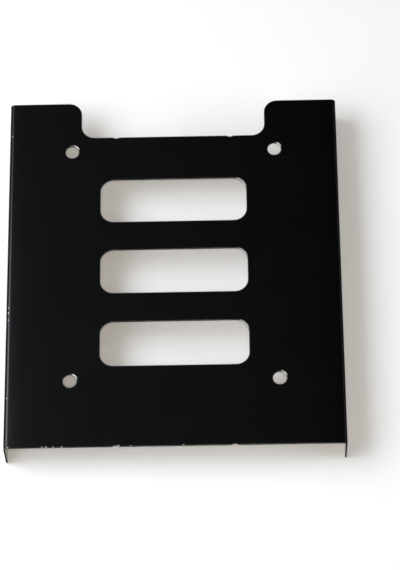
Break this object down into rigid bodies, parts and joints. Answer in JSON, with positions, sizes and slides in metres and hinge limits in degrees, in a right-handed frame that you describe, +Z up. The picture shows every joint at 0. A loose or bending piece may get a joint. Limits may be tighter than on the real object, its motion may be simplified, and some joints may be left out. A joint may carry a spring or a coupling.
{
  "type": "drive bay adapter bracket",
  "caption": "Folded sheet-steel adapter bracket: a notched, slotted deck with screw holes for a small drive, and side flanges with threaded holes for a larger drive bay.",
  "frame": {"origin": "midway between the flanges and the ends, on the plane that the flange feet rest on", "axes": "+Z up through the deck, +Y along the flanges towards the notched rear end, +X across the deck"},
  "size_m": [0.1, 0.1146, 0.012],
  "materials": {
    "black_paint": "smooth semi-gloss black paint over sheet steel, edges painted too"
  },
  "bodies": {
    "root": {"adapter_bracket": "black_paint"}
  },
  "joints": []
}
